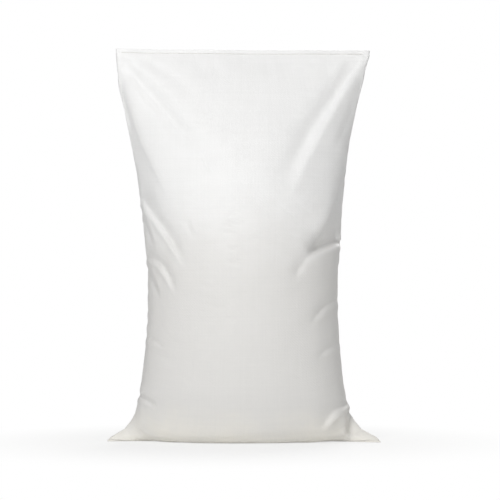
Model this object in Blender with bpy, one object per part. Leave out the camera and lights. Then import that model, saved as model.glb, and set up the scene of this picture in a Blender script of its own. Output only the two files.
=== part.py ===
"""A filled 25 kg feed sack of woven polypropylene, standing on its base, sewn shut at both ends.

Metres, +Z up, front facing -Y. The origin is on the ground under the middle of the sack.
The sack and the seed sealed in it are one solid. Each sewn end has the two threads of a
chain stitch: a needle thread on one face of the seam and a looper thread on the other.
"""
import math

import bmesh
import bpy

# Driving dimensions.
FLAT_WIDTH = 0.500       # width of the woven tube laid flat, kept ear to ear at the bottom seam
HEIGHT = 0.735           # ground to the cut top edge of the filled sack
SEAM_ALLOWANCE = 0.008   # from the top edge down to the stitch line
SEAM_THICKNESS = 0.0016  # both walls of the sack pressed together at a seam
SIDE_THICKNESS = 0.0012  # the tube's folded side edge, where front and back wall meet
THREAD_DIAMETER = 0.0010
GAP = 0.0003             # clearance between pieces that touch

# Sections from the ground up: height, half width, half depth, and the flank exponent.
# An exponent of 0.5 is an ellipse; above 1 the section is a lens with drawn-out tips.
STATIONS = (
    (0.000, 0.250, 0.094, 1.35),
    (0.012, 0.242, 0.106, 1.20),
    (0.024, 0.225, 0.114, 1.05),
    (0.054, 0.205, 0.123, 0.78),
    (0.090, 0.195, 0.129, 0.58),
    (0.180, 0.182, 0.134, 0.50),
    (0.272, 0.179, 0.133, 0.50),
    (0.365, 0.182, 0.123, 0.50),
    (0.459, 0.190, 0.104, 0.53),
    (0.553, 0.203, 0.075, 0.62),
    (0.646, 0.220, 0.038, 0.82),
    (0.700, 0.232, 0.015, 1.00),
    (0.724, 0.236, 0.003, 1.00),
)
TOP_HALF_WIDTH = 0.238
EAR_FORWARD = 0.030      # the ears lie this far in front of the middle of the base
EAR_HEIGHT = 0.060       # height over which that forward set fades out

# Tension folds: wall (-1 front, +1 back), start (x, z), end (x, z), depth, half width.
# They start under the top seam, at a bottom ear, or at the tube's folded side edges.
FOLDS = (
    (-1, (-0.232, 0.716), (-0.080, 0.470), 0.010, 0.016),
    (-1, (-0.222, 0.716), (-0.150, 0.590), 0.006, 0.012),
    (-1, (0.230, 0.718), (0.045, 0.470), 0.013, 0.018),
    (-1, (0.214, 0.640), (0.100, 0.330), 0.010, 0.016),
    (-1, (-0.174, 0.430), (-0.100, 0.300), 0.008, 0.014),
    (-1, (-0.196, 0.078), (-0.150, 0.050), 0.006, 0.012),
    (-1, (0.190, 0.100), (0.120, 0.080), 0.006, 0.012),
    (1, (-0.230, 0.716), (-0.070, 0.440), 0.012, 0.018),
    (1, (0.230, 0.716), (0.090, 0.480), 0.011, 0.016),
    (1, (0.170, 0.400), (0.095, 0.280), 0.008, 0.014),
    (1, (-0.192, 0.090), (-0.130, 0.065), 0.006, 0.012),
)
FOLD_CALM_DEPTH = 0.030  # walls nearer to the sack's middle plane than this fold less

# Mesh fineness.
SECTION_POINTS = 64
RINGS = 46

# The bottom seam is pressed up into the base: a fin between two grooves that hold its threads.
GROOVE_WIDTH = THREAD_DIAMETER + 2 * GAP + 0.0002
GROOVE_DEPTH = 0.0030
GROOVE_HALF_LENGTH = 0.205
BOTTOM_THREAD_HALF_LENGTH = 0.203
TOP_THREAD_HALF_LENGTH = 0.230
THREAD_OFFSET = SEAM_THICKNESS / 2 + GAP + THREAD_DIAMETER / 2

PARTS = "feed_sack"
CUTTERS = "feed_sack_cutters"


def clear_scene():
    """Remove every object of the start-up scene."""
    for thing in list(bpy.data.objects):
        bpy.data.objects.remove(thing)


def collection(name):
    """A new collection of the scene."""
    group = bpy.data.collections.new(name)
    bpy.context.scene.collection.children.link(group)
    return group


def material(name, colour, roughness):
    """A plain Principled BSDF material."""
    result = bpy.data.materials.new(name)
    result.use_nodes = True
    shader = result.node_tree.nodes["Principled BSDF"]
    shader.inputs["Base Color"].default_value = (*colour, 1.0)
    shader.inputs["Roughness"].default_value = roughness
    shader.inputs["Metallic"].default_value = 0.0
    return result


def woven_plastic():
    """White laminated polypropylene raffia, with a satin face."""
    return material("woven_polypropylene", (0.80, 0.80, 0.78), 0.42)


def thread_yarn():
    """Off-white polyester sewing yarn."""
    return material("sewing_yarn", (0.78, 0.77, 0.73), 0.75)


def catmull_rom(before, start, end, after, share):
    """Smooth value between start and end, at share 0 to 1, from four even stations."""
    linear = end - before
    square = 2 * before - 5 * start + 4 * end - after
    cube = 3 * (start - end) + after - before
    return start + 0.5 * share * (linear + share * (square + share * cube))


def section_size(height):
    """Half width, half depth and flank exponent of the section at a height."""
    last = len(STATIONS) - 2
    index = max(i for i in range(last + 1) if STATIONS[i][0] <= height)
    rows = [STATIONS[min(max(index + step, 0), last + 1)] for step in (-1, 0, 1, 2)]
    share = (height - rows[1][0]) / (rows[2][0] - rows[1][0])
    return [catmull_rom(*(row[column] for row in rows), share) for column in (1, 2, 3)]


def fold_depth(wall, x, z):
    """How far the folds press a wall in at a place: long troughs with a soft ridge beside."""
    total = 0.0
    for side, start, end, depth, half_width in FOLDS:
        if side != wall:
            continue
        run = (end[0] - start[0], end[1] - start[1])
        length = math.hypot(*run)
        along = ((x - start[0]) * run[0] + (z - start[1]) * run[1]) / length ** 2
        if not 0 < along < 1:
            continue
        across = ((x - start[0]) * run[1] - (z - start[1]) * run[0]) / length / half_width
        fade = math.sin(math.pi * along ** 0.6) ** 1.2
        total += depth * fade * (1 - 0.55 * across ** 2) * math.exp(-0.5 * across ** 2)
    return total


def section(height):
    """One closed ring of the sack: front wall left to right, then back wall right to left."""
    half_width, half_depth, exponent = section_size(height)
    roundness = min(1.0, half_depth / 0.12)
    half_count = SECTION_POINTS // 2
    ring = []
    for index in range(SECTION_POINTS):
        wall = -1 if index < half_count else 1
        step = index if wall < 0 else SECTION_POINTS - index
        even = 2 * step / half_count - 1
        across = (1 - roundness) * even + roundness * math.sin(even * math.pi / 2)
        x = half_width * across
        bulge = half_depth * max(0.0, 1 - across ** 2) ** exponent
        calm = min(1.0, bulge / FOLD_CALM_DEPTH)
        bulge = max(bulge - calm * fold_depth(wall, x, height), SIDE_THICKNESS / 2)
        forward = EAR_FORWARD * across ** 2 * max(0.0, 1 - height / EAR_HEIGHT) ** 2
        at_side_edge = step in (0, half_count)
        ring.append((x, (0.0 if at_side_edge else wall * bulge) - forward, height))
    return ring


def seam_section(height, half_width):
    """One closed ring of the flat top seam."""
    half_count = SECTION_POINTS // 2
    ring = []
    for index in range(SECTION_POINTS):
        wall = -1 if index < half_count else 1
        step = index if wall < 0 else SECTION_POINTS - index
        at_side_edge = step in (0, half_count)
        y = 0.0 if at_side_edge else wall * SEAM_THICKNESS / 2
        ring.append((half_width * (2 * step / half_count - 1), y, height))
    return ring


def ring_heights():
    """Heights of the sections, closer together at the round bottom edge."""
    top = STATIONS[-1][0]
    return [top * (index / (RINGS - 1)) ** 1.35 for index in range(RINGS)]


def loft(rings):
    """A closed mesh through the rings, capped at both ends."""
    shape = bmesh.new()
    made = [[shape.verts.new(point) for point in ring] for ring in rings]
    count = len(rings[0])
    for lower, upper in zip(made, made[1:]):
        for index in range(count):
            following = (index + 1) % count
            shape.faces.new((lower[index], lower[following], upper[following], upper[index]))
    shape.faces.new(reversed(made[0]))
    top = made[-1]
    half_count = count // 2
    shape.faces.new((top[0], top[1], top[-1]))
    for index in range(1, half_count - 1):
        shape.faces.new((top[index], top[index + 1], top[count - index - 1], top[count - index]))
    shape.faces.new((top[half_count - 1], top[half_count], top[half_count + 1]))
    bmesh.ops.recalc_face_normals(shape, faces=shape.faces)
    mesh = bpy.data.meshes.new("sack")
    shape.to_mesh(mesh)
    shape.free()
    return mesh


def groove_cutter(name, y, group):
    """A long box that cuts one groove beside the bottom seam."""
    shape = bmesh.new()
    bmesh.ops.create_cube(shape, size=1.0)
    scale = (2 * GROOVE_HALF_LENGTH, GROOVE_WIDTH, 2 * GROOVE_DEPTH)
    bmesh.ops.scale(shape, vec=scale, verts=shape.verts)
    mesh = bpy.data.meshes.new(name)
    shape.to_mesh(mesh)
    shape.free()
    cutter = bpy.data.objects.new(name, mesh)
    cutter.location = (0.0, y, 0.0)
    cutter.hide_render = True
    cutter.display_type = "WIRE"
    group.objects.link(cutter)
    return cutter


def make_sack(parts, cutters):
    """The filled sack, with a groove on each side of its bottom seam."""
    rings = [section(height) for height in ring_heights()]
    seam_line = HEIGHT - SEAM_ALLOWANCE
    rings.append(seam_section(seam_line, TOP_HALF_WIDTH - 0.001))
    rings.append(seam_section(HEIGHT, TOP_HALF_WIDTH))
    sack = bpy.data.objects.new("sack", loft(rings))
    sack.data.materials.append(woven_plastic())
    sack.data.shade_smooth()
    parts.objects.link(sack)
    offset = SEAM_THICKNESS / 2 + GROOVE_WIDTH / 2
    for name, side in (("groove_front", -1), ("groove_back", 1)):
        cut = sack.modifiers.new(name, "BOOLEAN")
        cut.operation = "DIFFERENCE"
        cut.object = groove_cutter(name, side * offset, cutters)


def make_thread(parts, name, half_length, y, z, yarn):
    """One seam thread: a straight capped tube along the seam."""
    curve = bpy.data.curves.new(name, "CURVE")
    curve.dimensions = "3D"
    curve.bevel_depth = THREAD_DIAMETER / 2
    curve.bevel_resolution = 2
    curve.use_fill_caps = True
    spline = curve.splines.new("POLY")
    spline.points.add(1)
    for point, x in zip(spline.points, (-half_length, half_length)):
        point.co = (x, 0.0, 0.0, 1.0)
    curve.materials.append(yarn)
    thread = bpy.data.objects.new(name, curve)
    thread.location = (0.0, y, z)
    parts.objects.link(thread)


def main():
    """Build the whole sack."""
    clear_scene()
    parts = collection(PARTS)
    cutters = collection(CUTTERS)
    make_sack(parts, cutters)
    yarn = thread_yarn()
    stitch_line = HEIGHT - SEAM_ALLOWANCE + THREAD_DIAMETER
    groove_middle = GROOVE_DEPTH / 2
    make_thread(parts, "top_needle_thread", TOP_THREAD_HALF_LENGTH, -THREAD_OFFSET, stitch_line, yarn)
    make_thread(parts, "top_looper_thread", TOP_THREAD_HALF_LENGTH, THREAD_OFFSET, stitch_line, yarn)
    bottom = BOTTOM_THREAD_HALF_LENGTH
    make_thread(parts, "bottom_needle_thread", bottom, -THREAD_OFFSET, groove_middle, yarn)
    make_thread(parts, "bottom_looper_thread", bottom, THREAD_OFFSET, groove_middle, yarn)


main()
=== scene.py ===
"""The looks of the filled feed sack: a simulated woven sack with its folds, and sewn seams."""
import math

import bpy
import numpy as np
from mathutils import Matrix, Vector


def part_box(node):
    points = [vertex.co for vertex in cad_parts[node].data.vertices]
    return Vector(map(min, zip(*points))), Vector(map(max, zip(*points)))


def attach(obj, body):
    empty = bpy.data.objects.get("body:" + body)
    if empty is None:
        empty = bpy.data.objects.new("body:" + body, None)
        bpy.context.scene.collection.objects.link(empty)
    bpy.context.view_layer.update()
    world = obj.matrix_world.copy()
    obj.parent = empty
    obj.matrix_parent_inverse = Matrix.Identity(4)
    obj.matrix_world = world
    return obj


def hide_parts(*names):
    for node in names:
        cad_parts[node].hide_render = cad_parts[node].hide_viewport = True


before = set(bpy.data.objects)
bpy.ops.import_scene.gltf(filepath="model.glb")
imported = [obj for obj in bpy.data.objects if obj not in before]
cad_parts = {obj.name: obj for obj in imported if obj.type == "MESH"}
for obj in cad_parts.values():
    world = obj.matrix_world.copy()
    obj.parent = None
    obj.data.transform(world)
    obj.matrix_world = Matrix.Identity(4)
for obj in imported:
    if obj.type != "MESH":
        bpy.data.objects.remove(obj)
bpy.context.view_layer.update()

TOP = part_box("sack")[1].z

# The woven tube, laid flat, between its two stitch lines.
FLAT_WIDTH = 0.500
FLAT_LENGTH = 0.872
WALL_HALF = 0.0008            # half of the two walls pressed together at a seam
EDGE_TAPER = 0.006            # the walls part over this width inside each side edge
SEAM_ALLOWANCE = 0.008
STITCH_PITCH = 0.008

# The filled sack's side edges as seen from the front: height and half width.
SIDE_EDGE = (
    (0.000, 0.250), (0.006, 0.247), (0.021, 0.221), (0.036, 0.208), (0.051, 0.1995),
    (0.081, 0.192), (0.111, 0.187), (0.170, 0.181), (0.230, 0.177), (0.310, 0.177),
    (0.380, 0.184), (0.440, 0.1895), (0.500, 0.196), (0.560, 0.206), (0.620, 0.218),
    (0.650, 0.2245), (0.680, 0.231), (0.710, 0.2365), (0.735, 0.2415),
)
TOP_HALF_WIDTH = 0.2415
# The sack leans a little: height and sideways shift.
LEAN = (
    (0.000, 0.000), (0.100, -0.002), (0.200, -0.001), (0.380, -0.001), (0.440, -0.0035),
    (0.560, -0.006), (0.660, -0.006), (0.710, -0.003), (0.735, 0.000),
)
SEAM_LINE = TOP - SEAM_ALLOWANCE
BASE_SEAM_HEIGHT = 0.003      # the bottom stitch line is pressed up this far
BASE_HALF_DEPTH = 0.098
UNDERCUT = 0.0025             # the heavy seed sets the round bottom edge down this much
UNDERCUT_HEIGHT = 0.010
GROUND_GAP = 0.0002           # least height of the cloth
BODY_HALF_DEPTH = 0.124       # before the seed pushes the walls out
BODY_HEIGHT = 0.30            # height of the deepest section
EAR_FORWARD = 0.040           # how far the ears point forward
EAR_TURN = 0.014              # the right ear this much more, the left one this much less
EAR_HEIGHT = 0.060

# Simulation and mesh fineness: columns on each wall, rows from seam to seam.
SIM_COLUMNS, SIM_ROWS = 56, 100
COLUMNS, ROWS = 160, 274
SIM_FRAMES = 30
EASE_PASSES = 14
SEED_PRESSURE = 620.0         # the cloth solver's pressure at the bottom
FILL_SHARE = 0.52             # the seed reaches this share of the tube's length
LOOSE_SHARE = 0.09            # pressure share of the slack upper part
TOP_GATHER = 0.035            # the top seam draws the cloth in by this share
GATHER_FROM = 0.45            # share of the tube's length where that starts

FRONT, BACK = -1, 1

# Folds pressed into the walls, in millimetres: wall, path (x, z), depth, widths to the left and to
# the right of the path's direction as seen from the front, heights of the lips on each side, and
# last the width at the path's end over the width at its start. A negative depth makes a ridge.
FOLDS = (
    # The top left corner: a long shallow fold that fans out, and a dimple at its end.
    (FRONT, ((-237, 723), (-212, 694), (-183, 664), (-156, 632), (-132, 601), (-107, 569),
     (-84, 539), (-66, 510)), 7.6, (8.5, 9.5), (0.7, 0.6), 2.0),
    (FRONT, ((-77, 524), (-66, 504), (-56, 481)), 1.1, (4.5, 6), (0.3, 0.2), 1.0),
    (FRONT, ((-207, 722), (-157, 697), (-115, 668), (-73, 623)), 1.7, (8, 9), (0.2, 0.2), 1.8),
    # The left flank turns away from a soft ridge.
    (FRONT, ((-247, 704), (-237, 654), (-225, 593), (-211, 525), (-198, 464), (-188, 407),
     (-182, 351)), 25, (13, 8), (0, 0), 3.6),
    (FRONT, ((-229, 681), (-206, 619), (-186, 564), (-164, 516), (-142, 468), (-122, 422)), -3.6,
     (15, 5), (0, 0), 1.3),
    # Left edge, the first finger fold: a lobe between two valleys.
    (FRONT, ((-196, 460), (-173, 431), (-146, 391), (-123, 353), (-101, 314)), 9.5, (17, 5),
     (0, 2.4), 0.5),
    (FRONT, ((-198, 437), (-182, 401), (-171, 371), (-158, 352)), 6.5, (5, 10), (1.4, 0), 0.6),
    # Left edge, the second and third.
    (FRONT, ((-186, 345), (-163, 334), (-146, 320), (-132, 295), (-119, 266)), 6.6, (12, 4.5),
     (0, 2.2), 0.5),
    (FRONT, ((-182, 326), (-170, 300), (-158, 275), (-152, 258)), 4.2, (4.5, 8), (1.2, 0), 0.7),
    (FRONT, ((-185, 194), (-162, 185), (-140, 172)), 3, (7, 5), (0, 1), 0.7),
    (FRONT, ((-177, 164), (-141, 154), (-115, 147)), 0.9, (6, 5), (0.2, 0.2), 1.0),
    # Top right corner: the long valley, sharp at the corner and wide lower down, and its ridge.
    (FRONT, ((232, 732), (215, 718), (197, 694), (179, 666), (160, 637), (141, 609), (123, 581),
     (106, 547), (91, 518), (76, 487), (56, 446)), 9.5, (7, 10), (1, 0.4), 2.0),
    (FRONT, ((205, 694), (187, 662), (171, 632), (156, 602), (138, 570), (123, 539), (107, 506),
     (92, 467), (76, 430), (54, 394)), -2.8, (8, 6), (0, 0), 1.5),
    # The right flank: its turn away, a crease on it, and the ridge along its inner side.
    (FRONT, ((243, 719), (233, 658), (222, 600), (212, 543), (202, 486), (198, 430), (196, 373),
     (199, 332)), 31, (10, 14), (0, 0), 4.2),
    (FRONT, ((204, 629), (186, 590), (167, 550), (147, 517)), 1.2, (5, 5), (0.3, 0.3), 1.2),
    (FRONT, ((195, 571), (183, 519), (168, 464), (154, 421), (138, 386), (125, 362), (110, 338),
     (95, 312)), -7, (8, 26), (0, 0), 0.6),
    # Right edge, the deep pocket under the flank, with a lobe below it.
    (FRONT, ((185, 375), (173, 371), (156, 362), (138, 354), (117, 341)), 30, (9, 30), (0.3, 0),
     0.5),
    (FRONT, ((130, 355), (112, 332), (99, 310), (88, 288)), 4.5, (8, 15), (0.3, 0), 0.7),
    # Right edge, lower down.
    (FRONT, ((188, 268), (151, 249), (117, 212)), 4.6, (6, 11), (1.6, 0), 0.6),
    (FRONT, ((189, 187), (159, 174), (131, 154)), 3.4, (5.5, 8), (1.2, 0), 0.7),
    # Left ear.
    (FRONT, ((-203, 88), (-179, 77), (-154, 64)), 5.4, (6.5, 4.5), (0.5, 2.4), 0.7),
    (FRONT, ((-220, 13), (-190, 18), (-151, 29)), 1.6, (6, 6), (0.4, 0.4), 1.2),
    (FRONT, ((-205, 48), (-178, 41), (-143, 41)), 1.4, (6, 6), (0.4, 0.4), 1.2),
    # Right ear: a bright lobe over a dark valley.
    (FRONT, ((198, 72), (169, 61), (152, 46), (135, 23)), 5.6, (4.5, 13), (3.8, 0), 1.1),
    (FRONT, ((207, 70), (198, 48), (198, 25), (205, 2)), 11, (8, 5.5), (0, 1), 1.2),
    (FRONT, ((205, 57), (192, 53), (181, 42)), 3.6, (4, 4), (0.5, 0.5), 0.8),
    # Faint level creases of the middle, and a few marks of handling.
    (FRONT, ((-27, 412), (-9, 416), (13, 418)), 1, (3.6, 3.6), (0.3, 0.3), 1.0),
    (FRONT, ((-31, 398), (-14, 392), (2, 390)), 1.2, (3.6, 3.6), (0.4, 0.4), 1.0),
    (FRONT, ((-32, 378), (-13, 379)), 0.8, (3.5, 3.5), (0.2, 0.2), 1.0),
    (FRONT, ((-30, 352), (-16, 349), (-4, 352)), 1, (3.5, 3.5), (0.3, 0.3), 1.0),
    (FRONT, ((-28, 327), (-9, 323), (11, 329)), 1.1, (3.6, 3.6), (0.3, 0.3), 1.0),
    (FRONT, ((-25, 291), (-11, 290)), 0.7, (3.5, 3.5), (0.2, 0.2), 1.0),
    (FRONT, ((-27, 226), (-12, 219)), 0.8, (3.6, 3.6), (0.2, 0.2), 1.0),
    (FRONT, ((-101, 401), (-94, 383), (-84, 366)), 1.2, (4, 4.5), (0.3, 0.2), 1.0),
    (FRONT, ((13, 370), (36, 367)), 0.6, (3.6, 3.6), (0.2, 0.2), 1.0),
    (FRONT, ((-68, 281), (-53, 279)), 0.6, (3.6, 3.6), (0.2, 0.2), 1.0),
    (FRONT, ((-102, 119), (-93, 108)), 0.7, (3.6, 3.6), (0.2, 0.2), 1.0),
    (FRONT, ((99, 693), (126, 710), (148, 714)), 0.6, (5, 5), (0.2, 0.2), 1.0),
    (FRONT, ((110, 431), (123, 441)), 0.7, (3.6, 3.6), (0.2, 0.2), 1.0),
    # Back wall.
    (BACK, ((-230, 722), (-176, 672), (-128, 590), (-86, 480)), 8, (14, 12), (2, 2), 1.8),
    (BACK, ((-236, 700), (-214, 600), (-188, 510), (-168, 440)), 11, (14, 22), (0, 0), 1.8),
    (BACK, ((-194, 438), (-158, 402), (-108, 340)), 9, (16, 8), (0, 3), 0.7),
    (BACK, ((230, 722), (168, 690), (112, 616), (72, 530)), 6.5, (12, 14), (1.8, 1.6), 1.8),
    (BACK, ((236, 705), (215, 615), (190, 530), (164, 452), (120, 380)), 9, (18, 12), (0, 2),
     1.8),
    (BACK, ((186, 330), (150, 300), (122, 252)), 5, (7, 11), (2, 0), 0.7),
    (BACK, ((-186, 250), (-160, 232), (-136, 206)), 4, (8, 6), (0, 1.4), 0.7),
    (BACK, ((206, 86), (178, 70), (146, 60)), 5.5, (6, 8), (1.5, 0), 0.7),
    (BACK, ((-204, 94), (-176, 80), (-140, 52)), 5.5, (8, 6), (0, 1.5), 0.7),
    (BACK, ((-60, 500), (-20, 492), (30, 498)), 1.2, (5, 5), (0.4, 0.4), 0.7),
)
MILLIMETRES = 1000            # in a metre
FOLD_WRAP = 0.022             # how far a fold goes on round a side edge
FOLD_ROUNDING = 0.22          # roundness of a fold, as a share of its width
FOLD_REACH = 4                # how far from its path a fold is worked out, in widths
VALLEY_FALL, VALLEY_POWER = 1.1, 1.5
LIP_PLACE, LIP_WIDTH = 2.5, 1.2   # in widths
FADE_IN, FADE_OUT = 0.12, 0.62    # shares of the path where a fold is full, and where it fades
PATH_BLEND = 0.15             # how far the pieces of a path blend, as a share of the distance
FOLD_ROOM = 0.30              # greatest depth of a fold, as a share of the sack's half depth
LEAST_ROOM = 0.001
FOLD_SQUARE = 0.30            # share of a fold that goes square to the cloth, the rest straight in
SEAM_CALM = 0.012             # near a seam, over this distance, folds fall to the share below
SEAM_SHARE = 0.2
WALL_CLEARANCE = 0.004        # least distance between the walls where a fold goes deep
CLEARANCE_SLOPE = 0.1         # near a side edge, as a share of the distance to it
CLEARANCE_FADE = 0.08         # it falls to nothing over this distance to the top seam

# Random creases: fine ones all over, short ones at the side edges, and gathers at the seam.
CREASE_COUNT = 300
CREASE_SEED = 11
CRUMPLES_PER_EDGE = 9
CRUMPLE_LOW, CRUMPLE_SPAN = 0.10, 0.47
GATHER_SPACING = 0.031
GATHERED_SHARE = 0.95         # share of the top seam with gathers


def smooth_step(low, high, value):
    """0 below low, 1 above high, smooth between. low may be the greater."""
    share = np.clip((np.asarray(value, float) - low) / (high - low), 0.0, 1.0)
    return share * share * (3 - 2 * share)


# ---------------------------------------------------------------- the sack before it settles

PROFILE_STEPS = 800
UPPER_TAPER = 1.6             # powers by which the sack narrows to the top and to the base
BASE_ROUNDING = 6
EDGE_BLEND = 3                # power by which a row goes over from the middle's path to the edge's
OVAL_DEPTH = 0.12             # half depth from which a section is a full oval
BASE_CURVE, BODY_CURVE, SLACK_CURVE = 1.3, 0.5, 0.7   # powers of a section's curve
BASE_HEIGHT, SLACK_HEIGHT = 0.05, 0.4


def side_edge(height):
    """Half width of the sack's outline at a height."""
    heights, halves = zip(*SIDE_EDGE)
    return np.interp(height, heights, halves)


def wall_depth(height):
    """Distance of the middle of a wall from the sack's middle plane, before simulation."""
    above = np.clip((height - BODY_HEIGHT) / (SEAM_LINE - BODY_HEIGHT), 0.0, 1.0)
    below = np.clip((BODY_HEIGHT - height) / BODY_HEIGHT, 0.0, 1.0)
    upper = BODY_HALF_DEPTH * (1 - above ** UPPER_TAPER)
    lower = BODY_HALF_DEPTH - (BODY_HALF_DEPTH - BASE_HALF_DEPTH) * below ** BASE_ROUNDING
    return np.where(height > BODY_HEIGHT, upper, lower)


def even_path(points, count):
    """Points spaced evenly along a path of many points."""
    steps = np.linalg.norm(np.diff(points, axis=0), axis=1)
    along = np.concatenate([[0.0], np.cumsum(steps)])
    places = np.linspace(0.0, along[-1], count)
    return np.stack([np.interp(places, along, points[:, axis]) for axis in (0, 1)], axis=1)


def ear_forward(share):
    """How far forward the bottom seam lies, at a share of its half length from the middle."""
    return share ** 2 * (EAR_FORWARD + EAR_TURN * share)


def start_grid(columns, rows):
    """The tube's points before simulation: rows from the bottom seam to the top one, each round
    the front wall from left to right and the back wall from right to left."""
    heights = np.linspace(0.0, SEAM_LINE, PROFILE_STEPS)
    wall_path = np.stack([wall_depth(heights), heights], axis=1)
    middle = even_path(np.vstack([[[0.0, 0.0]], wall_path]), rows + 1)
    edge = even_path(np.stack([side_edge(heights), heights], axis=1), rows + 1)
    around = np.arange(2 * columns)
    wall = np.where(around < columns, FRONT, BACK)
    step = np.where(around < columns, around, 2 * columns - around)
    across = 2.0 * step / columns - 1
    to_edge = np.abs(across) ** EDGE_BLEND
    height = middle[:, 1:2] * (1 - to_edge) + edge[:, 1:2] * to_edge
    depth = middle[:, 0:1]
    roundness = np.clip(depth / OVAL_DEPTH, 0.0, 1.0)
    shift = across * (1 - roundness) + np.sin(across * math.pi / 2) * roundness
    at_base = np.exp(-height / BASE_HEIGHT)
    low = BASE_CURVE * at_base + BODY_CURVE * (1 - at_base)
    slack = np.clip((height - SLACK_HEIGHT) / (TOP - SLACK_HEIGHT), 0.0, 1.0)
    high = BODY_CURVE + SLACK_CURVE * slack
    bulge = depth * np.clip(1 - shift ** 2, 0.0, 1.0) ** np.maximum(low, high)
    ear = ear_forward(shift) * np.clip(1 - height / EAR_HEIGHT, 0.0, 1.0) ** 2
    grid = np.stack([shift * side_edge(height), wall * bulge - ear, height], axis=2)
    grid[0, :, 2] = BASE_SEAM_HEIGHT
    return grid


def flat_coordinates(columns, rows):
    """Where each point lies on the flat tube: across and along, in metres, and its wall."""
    around = np.arange(2 * columns)
    wall = np.where(around < columns, FRONT, BACK)
    step = np.where(around < columns, around, 2 * columns - around)
    across = (step / columns - 0.5) * FLAT_WIDTH
    along = np.arange(rows + 1) / rows * FLAT_LENGTH
    across, along = np.meshgrid(across, along)
    return across, along, np.broadcast_to(wall, across.shape)


# ---------------------------------------------------------------- settling under the seed

SHAKE_SEED, SHAKE_WAVES = 3, 40
SHAKE_WAVE_NUMBER = 30
SHAKE_HEIGHT = 0.002
FLAT_GAP = 0.0005             # half the distance of the flat walls at rest
CONTACT_GAP = 0.002           # distance at which the cloth meets the ground
NEARLY = 1e-6


def tube_mesh(name, grid):
    """A mesh of the tube, whose walls share their points at both seams, with the mesh point of each
    grid point, and the grid points it takes."""
    rows, around = grid.shape[0] - 1, grid.shape[1]
    columns = around // 2
    index = np.arange((rows + 1) * around).reshape(rows + 1, around)
    for row in (0, rows):
        for step in range(1, columns):
            index[row, around - step] = index[row, step]
    used, index = np.unique(index, return_inverse=True)
    index = index.reshape(rows + 1, around)
    faces = []
    for row in range(rows):
        for step in range(around):
            following = (step + 1) % around
            corners = (index[row, step], index[row, following],
                       index[row + 1, following], index[row + 1, step])
            faces.append([int(corner) for corner in corners])
    mesh = bpy.data.meshes.new(name)
    mesh.from_pydata(grid.reshape(-1, 3)[used].tolist(), [], faces)
    return mesh, index, used


def add_shake(grid):
    """Small smooth unevenness, so that slack cloth buckles as freely as real cloth."""
    random = np.random.default_rng(SHAKE_SEED)
    across, along, wall = flat_coordinates(grid.shape[1] // 2, grid.shape[0] - 1)
    total = np.zeros(across.shape)
    for _ in range(SHAKE_WAVES):
        wave = random.normal(0, SHAKE_WAVE_NUMBER, 2)
        phase = random.uniform(0, 2 * math.pi)
        total += random.normal() * np.sin(across * wave[0] + along * wave[1] + phase + wall)
    free = np.abs(grid[1:-1, :, 1]) > 1e-4
    grid[1:-1, :, 1] += SHAKE_HEIGHT * (total / np.abs(total).max())[1:-1] * free


def add_flat_shape(sack, across, along, wall):
    """The cut of the cloth: a flat tube, gathered a little towards the top seam."""
    sack.shape_key_add(name="Basis")
    flat = sack.shape_key_add(name="flat")
    between = FLAT_GAP * wall * (np.abs(across) < FLAT_WIDTH / 2 - NEARLY)
    gathered = 1 - TOP_GATHER * smooth_step(GATHER_FROM * FLAT_LENGTH, FLAT_LENGTH, along)
    points = np.stack([across * gathered, between, along], axis=1)
    flat.data.foreach_set("co", points.astype(np.float32).ravel())
    return flat


def add_weights(sack, along):
    """Pins both seams, and gives every point its share of the seed's pressure."""
    seams = sack.vertex_groups.new(name="seams")
    seed = sack.vertex_groups.new(name="seed")
    at_seam = (along < NEARLY) | (along > FLAT_LENGTH - NEARLY)
    seams.add([int(i) for i in np.nonzero(at_seam)[0]], 1.0, "REPLACE")
    share = np.clip(1 - along / FLAT_LENGTH / FILL_SHARE, LOOSE_SHARE, 1.0)
    for point, weight in enumerate(share):
        seed.add([point], float(weight), "REPLACE")


def settling_ground():
    """The floor that the cloth settles on."""
    mesh = bpy.data.meshes.new("settling_ground")
    mesh.from_pydata([(-1, -1, 0), (1, -1, 0), (1, 1, 0), (-1, 1, 0)], [], [(0, 1, 2, 3)])
    ground = bpy.data.objects.new("settling_ground", mesh)
    ground.location.z = -CONTACT_GAP
    bpy.context.scene.collection.objects.link(ground)
    ground.modifiers.new("ground", "COLLISION")
    ground.collision.thickness_outer = CONTACT_GAP
    ground.collision.cloth_friction = 20
    return ground


def simulated_points(sack):
    """Where the simulation leaves the mesh's points."""
    scene = bpy.context.scene
    for number in range(1, SIM_FRAMES + 1):
        scene.frame_set(number)
    seen = sack.evaluated_get(bpy.context.evaluated_depsgraph_get())
    points = np.empty(len(sack.data.vertices) * 3, np.float32)
    seen.data.vertices.foreach_get("co", points)
    scene.frame_set(1)
    return points.reshape(-1, 3).astype(float)


def settle(grid):
    """Lets the cloth tube settle on the ground under the seed's pressure, pinned at its seams."""
    add_shake(grid)
    mesh, index, used = tube_mesh("settling_sack", grid)
    sack = bpy.data.objects.new("settling_sack", mesh)
    bpy.context.scene.collection.objects.link(sack)
    coordinates = flat_coordinates(grid.shape[1] // 2, grid.shape[0] - 1)
    across, along, wall = (part.reshape(-1)[used] for part in coordinates)
    flat = add_flat_shape(sack, across, along, wall)
    add_weights(sack, along)
    ground = settling_ground()
    set_cloth(sack.modifiers.new("cloth", "CLOTH"), flat)
    settled = simulated_points(sack)[index]
    for thing in (sack, ground):
        data = thing.data
        bpy.data.objects.remove(thing)
        bpy.data.meshes.remove(data)
    return settled


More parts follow.
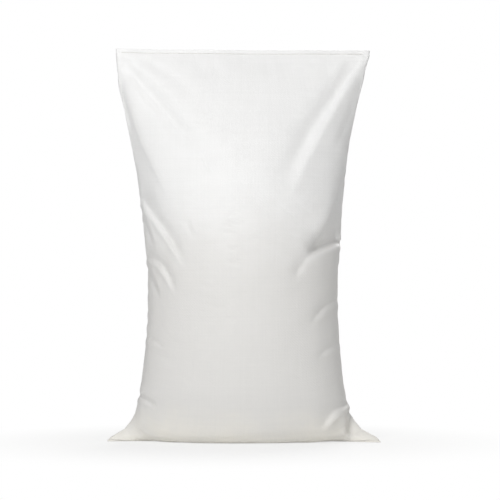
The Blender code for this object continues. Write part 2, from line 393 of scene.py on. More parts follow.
def set_cloth(cloth, flat):
    """Woven plastic film: stiff in the plane, springy in bending, and nearly weightless here."""
    settings = cloth.settings
    settings.quality = 6
    settings.mass = 0.001
    settings.air_damping = 2.0
    settings.tension_stiffness = 100
    settings.compression_stiffness = 100
    settings.shear_stiffness = 40
    settings.bending_stiffness = 0.5
    settings.tension_damping = 10
    settings.compression_damping = 10
    settings.shear_damping = 10
    settings.bending_damping = 0.5
    settings.vertex_group_mass = "seams"
    settings.pin_stiffness = 10
    settings.rest_shape_key = flat
    settings.use_pressure = True
    settings.uniform_pressure_force = SEED_PRESSURE
    settings.vertex_group_pressure = "seed"
    cloth.collision_settings.distance_min = CONTACT_GAP
    cloth.collision_settings.use_self_collision = False
    cloth.point_cache.frame_start = 1
    cloth.point_cache.frame_end = SIM_FRAMES


# ---------------------------------------------------------------- the fine surface

EASE_EDGE = 0.04              # width beside each side edge that is eased less
EASE_UPPER = (0.18, 0.40)     # heights over which the easing of the upper part sets in
EASE_RIM = (0.10, 0.05)       # and that of the bottom rim
OUTLINE_HEIGHTS = (0.006, 0.05)   # heights over which the outline's correction sets in
OUTLINE_ROWS = 4              # rows above and below that the correction is averaged over
CALM_EDGE, CALM_BOTTOM, CALM_TOP = 0.03, 0.04, 0.03   # widths kept free of fine creases
WAVE_COUNT, WAVE_NUMBER = 60, 55
WAVE_HEIGHT = 0.0032
BEAD_HEIGHT, BEAD_WIDTH = 0.0005, 0.0040   # the pressed side edge of the woven tube
TOP_SLOPE, TOP_SAG = 0.0016, 0.0012
TOP_LINE_FADE = 0.10
PUCKER_HEIGHT = 0.00018
TOP_HEM = (0.0012, 0.0028, 0.0045, 0.0062, 0.0074, SEAM_ALLOWANCE)   # rows beyond the stitches
BOTTOM_HEM = (-0.0008, -0.0018, -0.0026)
TOP_FLARE = 0.55              # the top hem widens by this share for each metre


def catmull_rom(before, start, end, after, share):
    """Smooth value between start and end from four even stations."""
    linear = end - before
    square = 2 * before - 5 * start + 4 * end - after
    cube = 3 * (start - end) + after - before
    return start + 0.5 * share * (linear + share * (square + share * cube))


def resample(grid, columns, rows):
    """The grid again with more points, smooth in both directions."""
    old_rows, old_around = grid.shape[0] - 1, grid.shape[1]
    place = np.linspace(0.0, old_rows, rows + 1)
    first = np.minimum(place.astype(int), old_rows - 1)
    stations = [grid[np.clip(first + step, 0, old_rows)] for step in (-1, 0, 1, 2)]
    grid = catmull_rom(*stations, (place - first)[:, None, None])
    place = np.arange(2 * columns) * old_around / (2 * columns)
    first = place.astype(int)
    stations = [grid[:, (first + step) % old_around] for step in (-1, 0, 1, 2)]
    return catmull_rom(*stations, (place - first)[None, :, None])


def ease(grid, across):
    """Takes the simulation's small buckles out of the slack upper part and the bottom rim."""
    from_edge = FLAT_WIDTH / 2 - np.abs(across)
    inner = smooth_step(0.0, EASE_EDGE, from_edge)
    height = grid[:, :, 2]
    upper = smooth_step(*EASE_UPPER, height) * inner
    rim = smooth_step(*EASE_RIM, height) * inner
    for _ in range(EASE_PASSES):
        sideways = (np.roll(grid, 1, axis=1) + np.roll(grid, -1, axis=1)) / 2
        grid += 0.5 * np.maximum(upper, rim)[:, :, None] * (sideways - grid)
        upwards = (grid[:-2] + grid[2:]) / 2
        grid[1:-1] += 0.5 * upper[1:-1, :, None] * (upwards - grid[1:-1])


def lean(height):
    """The standing sack's small sideways lean at a height."""
    heights, shifts = zip(*LEAN)
    return np.interp(height, heights, shifts)


def fit_outline(grid):
    """Brings each side edge of the sack to the outline in SIDE_EDGE, moved by the sack's lean."""
    columns = grid.shape[1] // 2
    above_ground = smooth_step(*OUTLINE_HEIGHTS, grid[:, :, 2])
    window = 2 * OUTLINE_ROWS + 1
    for step, side in ((0, -1), (columns, 1)):
        edge = grid[:, step]
        order = np.argsort(edge[:, 2])
        ratio = (side * side_edge(edge[:, 2]) + lean(edge[:, 2])) / edge[:, 0]
        ratio = np.pad(ratio, OUTLINE_ROWS, mode="edge")
        ratio = np.convolve(ratio, np.ones(window) / window, mode="valid")
        factor = np.interp(grid[:, :, 2], edge[order, 2], ratio[order])
        this_side = (grid[:, :, 0] * side > 0) * above_ground
        grid[:, :, 0] *= 1 + (factor - 1) * this_side


def outward(grid):
    """Unit normals that point out of the sack."""
    along = np.gradient(grid, axis=0)
    around = np.roll(grid, -1, axis=1) - np.roll(grid, 1, axis=1)
    normal = np.cross(around, along)
    normal /= np.maximum(np.linalg.norm(normal, axis=2, keepdims=True), 1e-12)
    middle = grid.mean(axis=(0, 1))
    if ((grid - middle) * normal).sum() < 0:
        normal = -normal
    return normal


def path_place(path, x, z):
    """Share of the way along a path of the nearest place, and the signed distance to it. Far from
    the path the places of several of its pieces are blended, so that bends leave no ridge."""
    lengths = np.linalg.norm(np.diff(path, axis=0), axis=1)
    passed = np.concatenate([[0.0], np.cumsum(lengths)])
    distances, sides, shares = [], [], []
    for start, end, length, before in zip(path, path[1:], lengths, passed):
        run = (end - start) / length
        on = np.clip((x - start[0]) * run[0] + (z - start[1]) * run[1], 0.0, length)
        off_x = x - start[0] - on * run[0]
        off_z = z - start[1] - on * run[1]
        distances.append(np.hypot(off_x, off_z))
        sides.append(np.sign(off_x * run[1] - off_z * run[0]))
        shares.append((before + on) / passed[-1])
    distances, sides, shares = np.array(distances), np.array(sides), np.array(shares)
    nearest = distances.argmin(axis=0)[None]
    least = np.take_along_axis(distances, nearest, axis=0)
    weights = np.exp(-(distances - least) / (PATH_BLEND * least + 0.001))
    weights /= weights.sum(axis=0)
    side = np.take_along_axis(sides, nearest, axis=0)[0]
    return (weights * shares).sum(axis=0), side * (weights * distances).sum(axis=0)


def smooth_path(path, pieces=6):
    """More points through the same path, on a smooth curve."""
    path = [np.array(point) for point in path]
    path = [2 * path[0] - path[1], *path, 2 * path[-1] - path[-2]]
    points = []
    for four in zip(path, path[1:], path[2:], path[3:]):
        points += [catmull_rom(*four, step / pieces) for step in range(pieces)]
    return points + [path[-2]]


def in_metres(fold):
    """The same fold with its lengths in metres."""
    wall, *lengths, spread = fold
    return wall, *(np.array(length) / MILLIMETRES for length in lengths), spread


def fold_profile(x, z, fold):
    """How far one fold presses the wall in. Negative on its lips."""
    _, path, depth, widths, lips, spread = fold
    path = np.array(smooth_path(path))
    reach = FOLD_REACH * max(widths) * max(spread, 1.0)
    low, high = path.min(axis=0) - reach, path.max(axis=0) + reach
    near = (x > low[0]) & (x < high[0]) & (z > low[1]) & (z < high[1])
    share, across = path_place(path, x[near], z[near])
    width = np.where(across < 0, *widths) * (1 + (spread - 1) * share)
    scaled = np.abs(across) / width
    rounded = np.sqrt(scaled ** 2 + FOLD_ROUNDING ** 2) - FOLD_ROUNDING
    valley = np.exp(-VALLEY_FALL * rounded ** VALLEY_POWER)
    bank = np.exp(-((scaled - LIP_PLACE) / LIP_WIDTH) ** 2)
    fade = smooth_step(0.0, FADE_IN, share) * smooth_step(1.0, FADE_OUT, share)
    pressed = np.zeros(x.shape)
    pressed[near] = fade * (depth * valley - np.where(across < 0, *lips) * bank)
    return pressed


def edge_crumples():
    """Short folds from the side edges into the back, where the cloth is longer than the sack."""
    random = np.random.default_rng(CREASE_SEED + 2)
    folds = []
    for side in (-1, 1):
        for number in range(CRUMPLES_PER_EDGE):
            place = number + random.uniform(0.1, 0.9)
            height = CRUMPLE_LOW + CRUMPLE_SPAN * place / CRUMPLES_PER_EDGE
            length = random.uniform(0.022, 0.055)
            fall = random.uniform(0.15, 0.85)
            depth = random.uniform(0.0017, 0.0038)
            start = side * (float(side_edge(height)) + 0.004)
            bend = random.uniform(-0.006, 0.006)
            path = ((start, height),
                    (start - side * length * 0.5, height - fall * length * 0.5 + bend),
                    (start - side * length, height - fall * length))
            folds.append((BACK, path, depth, (0.0055, 0.0060), (0.4 * depth, 0.4 * depth), 0.8))
    return folds


def seam_gathers():
    """Short soft folds that fan out under the top seam, from its gathered stitches."""
    random = np.random.default_rng(CREASE_SEED + 3)
    folds = []
    for wall in (FRONT, BACK):
        for number in range(int(2 * GATHERED_SHARE * TOP_HALF_WIDTH / GATHER_SPACING)):
            place = (number + random.uniform(0.2, 0.8)) * GATHER_SPACING
            x = -GATHERED_SHARE * TOP_HALF_WIDTH + place
            length = random.uniform(0.018, 0.060)
            slant = -0.5 * x / TOP_HALF_WIDTH + random.uniform(-0.25, 0.25)
            depth = random.uniform(0.0003, 0.0008)
            path = ((x, SEAM_LINE + 0.002), (x + slant * length, SEAM_LINE - length))
            folds.append((wall, path, depth, (0.006, 0.006), (0.3 * depth, 0.3 * depth), 1.2))
    return folds


def ear_creases():
    """Creases on the back that run in from each ear, where the bottom corner draws the cloth."""
    random = np.random.default_rng(CREASE_SEED + 4)
    folds = []
    for side in (-1, 1):
        for angle in (0.12, 0.42, 0.80):
            angle += random.uniform(-0.08, 0.08)
            start = random.uniform(0.020, 0.034)
            length = random.uniform(0.040, 0.075)
            ends = [(side * (0.244 - reach * math.cos(angle)), 0.006 + reach * math.sin(angle))
                    for reach in (start, start + length)]
            depth = random.uniform(0.0012, 0.0026)
            folds.append((BACK, tuple(ends), depth, (0.006, 0.006),
                          (0.3 * depth, 0.3 * depth), 1.3))
    return folds


def press_folds(grid, across, wall):
    """Presses every fold into its wall, and a little way round the side edge."""
    normal = outward(grid)
    from_edge = FLAT_WIDTH / 2 - np.abs(across)
    x, z = grid[:, :, 0], grid[:, :, 2]
    shift = np.zeros(grid.shape)
    for fold in [*map(in_metres, FOLDS), *edge_crumples(), *seam_gathers(), *ear_creases()]:
        wrap = np.where(wall == fold[0], 1.0, np.exp(-(from_edge / FOLD_WRAP) ** 2))
        pressed = (wrap * fold_profile(x, z, fold))[:, :, None]
        shift += pressed * (FOLD_SQUARE * normal + (1 - FOLD_SQUARE) * np.array((0, fold[0], 0)))
    calm = smooth_step(SEAM_LINE, SEAM_LINE - SEAM_CALM, z) * smooth_step(0.0, SEAM_CALM, z)
    shift *= (SEAM_SHARE + (1 - SEAM_SHARE) * calm)[:, :, None]
    # No fold goes deeper than the sack's thickness at its height allows.
    room = FOLD_ROOM * np.abs(grid[:, :, 1]).max(axis=1)[:, None, None] + LEAST_ROOM
    depth = np.maximum(np.linalg.norm(shift, axis=2, keepdims=True), 1e-9)
    return grid - shift * room * np.tanh(depth / room) / depth


def keep_apart(grid):
    """Keeps the front wall in front of the back wall where a fold presses deep."""
    columns = grid.shape[1] // 2
    from_edge = FLAT_WIDTH / 2 * (1 - np.abs(2 * np.arange(1, columns) / columns - 1))
    below_seam = smooth_step(SEAM_LINE, SEAM_LINE - CLEARANCE_FADE, grid[:, 1:columns, 2])
    clearance = np.minimum(CLEARANCE_SLOPE * from_edge, WALL_CLEARANCE) * below_seam
    front = grid[:, 1:columns, 1]
    back = grid[:, :columns:-1, 1]
    overlap = np.maximum(front - back + clearance, 0.0)
    front -= overlap / 2
    back += overlap / 2


def crease_field(across, along, wall):
    """Many fine random creases, mostly level or slanting, all over the cloth."""
    random = np.random.default_rng(CREASE_SEED)
    total = np.zeros(across.shape)
    for _ in range(CREASE_COUNT):
        middle = (random.uniform(-0.24, 0.24), random.uniform(0.05, FLAT_LENGTH - 0.03))
        side = random.choice((FRONT, BACK))
        angle = random.normal(0.0, 0.55)
        length = random.uniform(0.012, 0.040)
        width = random.uniform(0.0035, 0.0065)
        depth = random.uniform(0.00012, 0.00042)
        off = (across - middle[0], along - middle[1])
        down = (off[0] * math.cos(angle) + off[1] * math.sin(angle)) / length
        over = (off[1] * math.cos(angle) - off[0] * math.sin(angle)) / width
        total += (wall == side) * depth * np.exp(-down ** 2 - over ** 2) * (1 - 0.6 * over ** 2)
    return total


def wave_field(across, along, wall):
    """Soft unevenness of the seed behind the cloth."""
    random = np.random.default_rng(CREASE_SEED + 1)
    total = np.zeros(across.shape)
    for _ in range(WAVE_COUNT):
        wave = random.normal(0, WAVE_NUMBER, 2)
        phase = random.uniform(0, 2 * math.pi, 2)
        total += np.sin(across * wave[0] + along * wave[1] + phase[0] + wall * phase[1])
    return total / WAVE_COUNT * WAVE_HEIGHT


def roughen(grid, across, along, wall):
    """Fine creases, soft waves, and the pressed side edges of the woven tube."""
    normal = outward(grid)
    from_edge = FLAT_WIDTH / 2 - np.abs(across)
    calm = smooth_step(0.0, CALM_EDGE, from_edge) * smooth_step(0.0, CALM_BOTTOM, along)
    calm = calm * smooth_step(FLAT_LENGTH, FLAT_LENGTH - CALM_TOP, along)
    out = calm * (wave_field(across, along, wall) - crease_field(across, along, wall))
    out += BEAD_HEIGHT * np.exp(-(from_edge / BEAD_WIDTH) ** 2) * smooth_step(0.0, 0.03, along)
    return grid + normal * out[:, :, None]


def top_line(x):
    """How much the top edge leaves a level line: higher at the left, a little sag between."""
    share = x / TOP_HALF_WIDTH
    return -TOP_SLOPE * share - TOP_SAG * (1 - share ** 2)


def seam_wave(x):
    """How far the flat top seam waves forward and back."""
    return 0.0011 * np.sin(x * 31 + 0.6) + 0.0007 * np.sin(x * 74 + 2.0)


def puckers(x):
    """The small gather of the cloth at each stitch."""
    return PUCKER_HEIGHT * np.cos(2 * math.pi * x / STITCH_PITCH)


def inside_edge(across):
    """0 at the side edges, where the two walls meet, and 1 a little inside them."""
    return smooth_step(0.0, EDGE_TAPER, FLAT_WIDTH / 2 - np.abs(across))


def thicken(grid, wall, across):
    """Sets the two walls apart by the cloth's own thickness."""
    grid[:, :, 1] += wall * WALL_HALF * inside_edge(across)


def shape_top(grid):
    """Follows the uneven top line and the seam's wave."""
    near = smooth_step(SEAM_LINE - TOP_LINE_FADE, SEAM_LINE, grid[:, :, 2])
    grid[:, :, 2] += near * top_line(grid[:, :, 0])
    grid[:, :, 1] += near ** 4 * seam_wave(grid[:, :, 0])


def hem_rows(row, wall, across, heights, widen):
    """Rows of a flat seam flange that go on from one of the tube's end rows."""
    inside = inside_edge(across)
    rows = []
    for height in heights:
        step = row.copy()
        step[:, 2] += height
        step[:, 0] *= 1 + widen * abs(height)
        step[:, 1] += wall * inside * puckers(row[:, 0]) * (1 - abs(height) / SEAM_ALLOWANCE)
        rows.append(step)
    return rows


def add_hems(grid, across, along, wall):
    """The rows of points with those of both seam flanges, and all their flat coordinates."""
    top = hem_rows(grid[-1], wall[-1], across[-1], TOP_HEM, TOP_FLARE)
    bottom = hem_rows(grid[0], wall[0], across[0], BOTTOM_HEM, 0.0)
    points = np.concatenate([np.array(bottom[::-1]), grid, np.array(top)])
    before = np.array(BOTTOM_HEM[::-1])[:, None] + along[:1]
    after = np.array(TOP_HEM)[:, None] + along[-1:]
    along = np.concatenate([before, along, after])
    across = np.broadcast_to(across[0], along.shape)
    return points, across, along, np.broadcast_to(wall[0], along.shape)


def fine_sack(grid):
    """The finished surface: rows of points from the bottom fin's edge to the top edge."""
    ease(grid, flat_coordinates(SIM_COLUMNS, SIM_ROWS)[0])
    grid = resample(grid, COLUMNS, ROWS)
    across, along, wall = flat_coordinates(COLUMNS, ROWS)
    fit_outline(grid)
    grid = press_folds(grid, across, wall)
    keep_apart(grid[1:-1])
    fit_outline(grid)
    grid = roughen(grid, across, along, wall)
    grid[:, :, 2] -= UNDERCUT * np.exp(-grid[:, :, 2] / UNDERCUT_HEIGHT)
    grid[:, :, 2] = np.maximum(grid[:, :, 2], GROUND_GAP)
    grid[0, :, 2] = BASE_SEAM_HEIGHT
    grid[-1, :, 2] = SEAM_LINE
    thicken(grid, wall, across)
    shape_top(grid)
    return add_hems(grid, across, along, wall)


def sack_mesh(points, across, along, wall):
    """A closed mesh from the rows of points, with each point's place on the flat cloth."""
    rows, around = points.shape[0], points.shape[1]
    columns = around // 2
    index = np.arange(rows * around).reshape(rows, around)
    faces = []
    for row in range(rows - 1):
        for step in range(around):
            following = (step + 1) % around
            faces.append((index[row, step], index[row, following],
                          index[row + 1, following], index[row + 1, step]))
    for row in (0, rows - 1):
        for step in range(columns):
            back = (around - step) % around
            corners = [index[row, step], index[row, step + 1],
                       index[row, around - step - 1], index[row, back]]
            corners = list(dict.fromkeys(corners))
            faces.append(corners if row else corners[::-1])
    faces = [[int(corner) for corner in face] for face in faces]
    mesh = bpy.data.meshes.new("woven_sack")
    mesh.from_pydata(points.reshape(-1, 3).tolist(), [], faces)
    flat = mesh.attributes.new("flat_cloth", "FLOAT_VECTOR", "POINT")
    places = np.stack([across, along, 0.5 * wall], axis=2)
    flat.data.foreach_set("vector", places.astype(np.float32).ravel())
    return mesh


# ---------------------------------------------------------------- materials

class Nodes:
    """Short calls for a material's node tree."""

    def __init__(self, name):
        self.material = bpy.data.materials.new(name)
        self.material.use_nodes = True
        self.tree = self.material.node_tree
        self.shader = self.tree.nodes["Principled BSDF"]

    def put(self, socket, value):
        """A link from another node's output, or a plain value."""
        if isinstance(value, bpy.types.NodeSocket):
            self.tree.links.new(value, socket)
        else:
            socket.default_value = value

    def math(self, operation, first, second=0.0, third=0.0):
        node = self.tree.nodes.new("ShaderNodeMath")
        node.operation = operation
        for socket, value in zip(node.inputs, (first, second, third)):
            self.put(socket, value)
        return node.outputs[0]

    def ramp(self, value, low, high, start=0.0, end=1.0):
        """value from low to high, as start to end, held outside."""
        node = self.tree.nodes.new("ShaderNodeMapRange")
        node.interpolation_type = "SMOOTHSTEP"
        for name, number in zip(("Value", "From Min", "From Max", "To Min", "To Max"),
                                (value, low, high, start, end)):
            self.put(node.inputs[name], number)
        return node.outputs["Result"]

    def mix(self, factor, first, second):
        node = self.tree.nodes.new("ShaderNodeMix")
        node.data_type = "RGBA"
        self.put(node.inputs[0], factor)
        self.put(node.inputs[6], first)
        self.put(node.inputs[7], second)
        return node.outputs[2]

    def scaled(self, vector, scale):
        node = self.tree.nodes.new("ShaderNodeVectorMath")
        node.operation = "MULTIPLY"
        self.put(node.inputs[0], vector)
        node.inputs[1].default_value = scale
        return node.outputs[0]

    def noise(self, vector, scale, detail=3.0, roughness=0.5):
        node = self.tree.nodes.new("ShaderNodeTexNoise")
        self.put(node.inputs["Vector"], vector)
        node.inputs["Scale"].default_value = scale
        node.inputs["Detail"].default_value = detail
        node.inputs["Roughness"].default_value = roughness
        return node.outputs["Fac"]

    def bump(self, height, distance, strength, under=None):
        node = self.tree.nodes.new("ShaderNodeBump")
        self.put(node.inputs["Height"], height)
        node.inputs["Distance"].default_value = distance
        node.inputs["Strength"].default_value = strength
        if under is not None:
            self.put(node.inputs["Normal"], under)
        return node.outputs[0]

    def attribute(self, name):
        node = self.tree.nodes.new("ShaderNodeAttribute")
        node.attribute_name = name
        return node.outputs["Vector"]

    def split(self, vector):
        node = self.tree.nodes.new("ShaderNodeSeparateXYZ")
        self.put(node.inputs[0], vector)
        return node.outputs

    def position(self):
        return self.tree.nodes.new("ShaderNodeTexCoord").outputs["Object"]


TAPE_PITCH = 0.0025           # width of one woven tape


def woven_material():
    """White woven polypropylene tape under a thin clear film, over warm coloured seed, with painted
    shade and a painted warm bounce in its base colour.
    """
    nodes = Nodes("woven_polypropylene")
    flat = nodes.attribute("flat_cloth")
    across, along, _ = nodes.split(flat)
    height = nodes.split(nodes.position())[2]
    # Plain weave: each tape rises over one and dips under the next.
    warp = nodes.math("SINE", nodes.math("MULTIPLY", across, math.pi / TAPE_PITCH))
    weft = nodes.math("SINE", nodes.math("MULTIPLY", along, math.pi / TAPE_PITCH))
    weave = nodes.math("MULTIPLY", warp, weft)
    warp_edge = nodes.math("POWER", nodes.math("ABSOLUTE", warp), 0.35)
    weft_edge = nodes.math("POWER", nodes.math("ABSOLUTE", weft), 0.35)
    edges = nodes.math("MULTIPLY", warp_edge, weft_edge)
    tape = nodes.math("MULTIPLY_ADD", weave, 0.5, nodes.math("MULTIPLY", edges, 0.6))
    # Single tapes are a little duller, brighter or tighter than their neighbours.
    warp_streak = nodes.noise(nodes.scaled(flat, (400.0, 9.0, 3.0)), 1.0, 2.0)
    weft_streak = nodes.noise(nodes.scaled(flat, (7.0, 400.0, 5.0)), 1.0, 2.0)
    streak = nodes.math("ADD", warp_streak, weft_streak)
    cloud = nodes.noise(flat, 14.0, 4.0, 0.6)
    grain = nodes.noise(flat, 260.0, 2.0)
    # The seed shows through as a warmer, greyer white; the greyer body under the whiter top is also
    # painted shade, standing in for light from above.
    level = nodes.math("MULTIPLY_ADD", cloud, 0.10, height)
    seed_tint_and_painted_shade = nodes.ramp(level, 0.54, 0.33)
    shade = nodes.mix(seed_tint_and_painted_shade, (0.898, 0.898, 0.895, 1), (0.790, 0.781, 0.764, 1))
    # Painted light: the foot is lighter and yellower, a painted lift of its shade and a painted
    # warm bounce from the floor.
    painted_foot_bounce = nodes.ramp(level, 0.13, 0.02, 0.0, 0.90)
    shade = nodes.mix(painted_foot_bounce, shade, (0.895, 0.868, 0.795, 1))
    dull = nodes.ramp(streak, 0.75, 1.25, 0.0, 0.05)
    shade = nodes.mix(dull, shade, (0.60, 0.60, 0.585, 1))
    # Painted shade: the gaps between the tapes are drawn a little darker.
    painted_gap_shade = nodes.ramp(edges, 0.55, 0.30, 0.0, 0.05)
    shade = nodes.mix(painted_gap_shade, shade, (0.52, 0.51, 0.49, 1))
    nodes.put(nodes.shader.inputs["Base Color"], shade)
    rough = nodes.math("MULTIPLY_ADD", cloud, 0.12, 0.42)
    nodes.put(nodes.shader.inputs["Roughness"], nodes.math("MULTIPLY_ADD", grain, 0.06, rough))
    nodes.shader.inputs["Specular IOR Level"].default_value = 0.35
    nodes.shader.inputs["Coat Weight"].default_value = 0.06
    nodes.shader.inputs["Coat Roughness"].default_value = 0.28
    nodes.shader.inputs["Sheen Weight"].default_value = 0.08
    nodes.shader.inputs["Sheen Roughness"].default_value = 0.4
    under = nodes.bump(grain, 0.0006, 0.35)
    under = nodes.bump(streak, 0.0005, 0.30, under)
    nodes.put(nodes.shader.inputs["Normal"], nodes.bump(tape, 0.00016, 0.55, under))
    return nodes.material


def yarn_material():
    """Off-white spun yarn with a visible twist."""
    nodes = Nodes("sewing_yarn")
    x, _, z = nodes.split(nodes.position())
    turns = nodes.math("MULTIPLY_ADD", z, 5200.0, nodes.math("MULTIPLY", x, 4200.0))
    twist = nodes.math("SINE", turns)
    fuzz = nodes.noise(nodes.position(), 1800.0, 2.0)
    # Painted shade: the yarn is lighter on the crowns of its twist and darker in the grooves
    # between them.
    painted_twist_light = nodes.ramp(twist, -1.0, 1.0)
    shade = nodes.mix(painted_twist_light, (0.76, 0.75, 0.71, 1), (0.87, 0.86, 0.83, 1))
    nodes.put(nodes.shader.inputs["Base Color"], shade)
    nodes.put(nodes.shader.inputs["Roughness"], nodes.math("MULTIPLY_ADD", fuzz, 0.2, 0.65))
    nodes.shader.inputs["Sheen Weight"].default_value = 0.2
    under = nodes.bump(fuzz, 0.0002, 0.5)
    nodes.put(nodes.shader.inputs["Normal"], nodes.bump(twist, 0.0002, 0.6, under))
    return nodes.material


def floor_material():
    """Plain pale studio floor that runs out into even white."""
    nodes = Nodes("studio_floor")
    haze = nodes.noise(nodes.position(), 3.0, 2.0)
    nodes.put(nodes.shader.inputs["Base Color"],
              nodes.mix(haze, (0.90, 0.90, 0.895, 1), (0.92, 0.92, 0.915, 1)))
    nodes.shader.inputs["Roughness"].default_value = 0.75
    nodes.shader.inputs["Specular IOR Level"].default_value = 0.2
    x, y, _ = nodes.split(nodes.position())
    squares = nodes.math("ADD", nodes.math("MULTIPLY", x, x), nodes.math("MULTIPLY", y, y))
    away = nodes.math("SQRT", squares)
    glow = nodes.tree.nodes.new("ShaderNodeEmission")
    glow.inputs["Strength"].default_value = 1.0
    blend = nodes.tree.nodes.new("ShaderNodeMixShader")
    seen = nodes.tree.nodes.new("ShaderNodeLightPath").outputs["Is Camera Ray"]
    whiteness = nodes.ramp(away, 0.15, 0.60, 0.62, 1.0)
    white = nodes.math("MAXIMUM", nodes.math("MULTIPLY", seen, whiteness), 0.15)
    nodes.put(blend.inputs[0], white)
    nodes.put(blend.inputs[1], nodes.shader.outputs[0])
    nodes.put(blend.inputs[2], glow.outputs[0])
    nodes.put(nodes.tree.nodes["Material Output"].inputs["Surface"], blend.outputs[0])
    return nodes.material


# ---------------------------------------------------------------- pieces

def make_sack():
    """The woven sack, which stands for the CAD sack."""
    grid = start_grid(SIM_COLUMNS, SIM_ROWS)
    grid = settle(grid)
    points, across, along, wall = fine_sack(grid)
    mesh = sack_mesh(points, across, along, wall)
    sack = bpy.data.objects.new("woven_sack", mesh)
    bpy.context.scene.collection.objects.link(sack)
    mesh.materials.append(woven_material())
    mesh.shade_smooth()
    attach(sack, "root")
    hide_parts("sack")
    return sack


THREAD_RADIUS = 0.0005
LOOPER_RADIUS = 0.0004
BOTTOM_NEEDLE_RADIUS = 0.0004
BOTTOM_LOOPER_RADIUS = 0.0003
TOP_LOOP, BOTTOM_LOOP = 0.0010, 0.0005     # half the height of a loop
LOOP_SWING = 0.0022
NEEDLE_STEPS, LOOPER_STEPS = 10, 16        # points for each stitch
TOP_STITCH_LIFT = 0.001                    # the top stitches lie this far above the seam line


def stitch_count(half_length):
    """Whole stitches that fit a thread."""
    return int(2 * half_length / STITCH_PITCH)


def needle_path(half_length, surface, side):
    """Straight stitches that lie on the cloth and dive into it at each needle hole."""
    path = []
    for stitch in range(stitch_count(half_length)):
        for step in range(NEEDLE_STEPS):
            share = step / NEEDLE_STEPS
            x = -half_length + (stitch + share) * STITCH_PITCH
            lift = math.sin(math.pi * share) ** 0.35
            y, z = surface(x)
            out = WALL_HALF - THREAD_RADIUS + 1.7 * THREAD_RADIUS * lift
            path.append((x, y + side * out, z))
    return path


def looper_path(half_length, surface, side, height):
    """Interlooped chain: a row of loops laid over each other."""
    path = []
    for stitch in range(stitch_count(half_length)):
        for step in range(LOOPER_STEPS):
            share = step / LOOPER_STEPS
            turn = 2 * math.pi * share
            x = -half_length + (stitch + share) * STITCH_PITCH - LOOP_SWING * math.sin(turn)
            y, z = surface(x)
            out = WALL_HALF + THREAD_RADIUS * (1.1 + 0.8 * math.sin(turn + 0.9))
            path.append((x, y + side * out, z + height * math.cos(turn)))
    return path


def make_thread(name, path, radius, yarn):
    """A thread along a path of points, which stands for the CAD thread of that name."""
    curve = bpy.data.curves.new(name + "_stitches", "CURVE")
    curve.dimensions = "3D"
    curve.bevel_depth = radius
    curve.bevel_resolution = 2
    curve.use_fill_caps = True
    spline = curve.splines.new("POLY")
    spline.points.add(len(path) - 1)
    for point, place in zip(spline.points, path):
        point.co = (*place, 1.0)
    curve.materials.append(yarn)
    thread = bpy.data.objects.new(name + "_stitches", curve)
    bpy.context.scene.collection.objects.link(thread)
    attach(thread, "root")
    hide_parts(name)


def make_threads():
    """Both chain stitches: a needle thread and a looper thread at each end of the sack."""
    yarn = yarn_material()

    def top(x):
        return float(seam_wave(x)), SEAM_LINE + TOP_STITCH_LIFT + float(top_line(np.array(x)))

    def bottom(x):
        return -ear_forward(x / SIDE_EDGE[0][1]), BASE_SEAM_HEIGHT / 2

    top_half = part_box("top_needle_thread")[1].x
    bottom_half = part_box("bottom_needle_thread")[1].x
    make_thread("top_needle_thread", needle_path(top_half, top, FRONT), THREAD_RADIUS, yarn)
    make_thread("top_looper_thread", looper_path(top_half, top, BACK, TOP_LOOP),
                LOOPER_RADIUS, yarn)
    make_thread("bottom_needle_thread", needle_path(bottom_half, bottom, FRONT),
                BOTTOM_NEEDLE_RADIUS, yarn)
    make_thread("bottom_looper_thread", looper_path(bottom_half, bottom, BACK, BOTTOM_LOOP),
                BOTTOM_LOOPER_RADIUS, yarn)


# ---------------------------------------------------------------- studio

def look_at(thing, target):
    """Turns a camera or light towards a point."""
    direction = Vector(target) - thing.location
    thing.rotation_euler = direction.to_track_quat("-Z", "Y").to_euler()


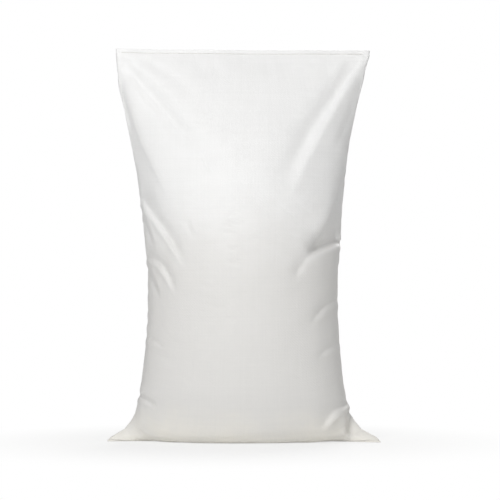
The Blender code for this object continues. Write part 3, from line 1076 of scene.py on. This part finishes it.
def make_floor():
    """A wide pale floor."""
    reach = 40.0
    mesh = bpy.data.meshes.new("floor")
    corners = [(-reach, -reach, 0), (reach, -reach, 0), (reach, reach, 0), (-reach, reach, 0)]
    mesh.from_pydata(corners, [], [(0, 1, 2, 3)])
    floor = bpy.data.objects.new("floor", mesh)
    mesh.materials.append(floor_material())
    bpy.context.scene.collection.objects.link(floor)


def make_light(name, place, target, size, power):
    """A square soft white light."""
    light = bpy.data.lights.new(name, "AREA")
    light.size = size
    light.energy = power
    thing = bpy.data.objects.new(name, light)
    bpy.context.scene.collection.objects.link(thing)
    thing.location = place
    look_at(thing, target)


def make_world():
    """Even white surroundings."""
    world = bpy.data.worlds.new("studio")
    bpy.context.scene.world = world
    world.use_nodes = True
    background = world.node_tree.nodes["Background"]
    background.inputs["Color"].default_value = (1.0, 0.995, 0.985, 1)
    background.inputs["Strength"].default_value = 0.285
    seen = world.node_tree.nodes.new("ShaderNodeBackground")
    seen.inputs["Color"].default_value = (1, 1, 1, 1)
    seen.inputs["Strength"].default_value = 1.0
    path = world.node_tree.nodes.new("ShaderNodeLightPath")
    mix = world.node_tree.nodes.new("ShaderNodeMixShader")
    links = world.node_tree.links
    links.new(path.outputs["Is Camera Ray"], mix.inputs[0])
    links.new(background.outputs[0], mix.inputs[1])
    links.new(seen.outputs[0], mix.inputs[2])
    links.new(mix.outputs[0], world.node_tree.nodes["World Output"].inputs["Surface"])


def make_camera():
    """Front view from low down, a little to the right of the middle."""
    camera = bpy.data.cameras.new("camera")
    camera.lens = 100
    camera.sensor_width = 36
    thing = bpy.data.objects.new("camera", camera)
    bpy.context.scene.collection.objects.link(thing)
    thing.location = (0.0125, -2.60, 0.19)
    look_at(thing, (0.0125, 0.0, 0.355))
    bpy.context.scene.camera = thing


def make_studio():
    """Floor, lights, surroundings and camera."""
    bpy.context.scene.view_settings.view_transform = "Standard"
    make_floor()
    make_light("key", (-0.75, -2.5, 1.9), (0, 0, 0.4), 1.5, 43)
    make_light("front", (0.0, -2.9, 1.0), (0, 0, 0.35), 1.0, 7)
    make_light("overhead", (0.0, -0.3, 2.7), (0, 0, 0.4), 2.4, 5)
    make_light("rear", (0.9, 2.6, 1.7), (0, 0, 0.4), 1.6, 42)
    make_world()
    make_camera()


make_studio()
make_sack()
make_threads()
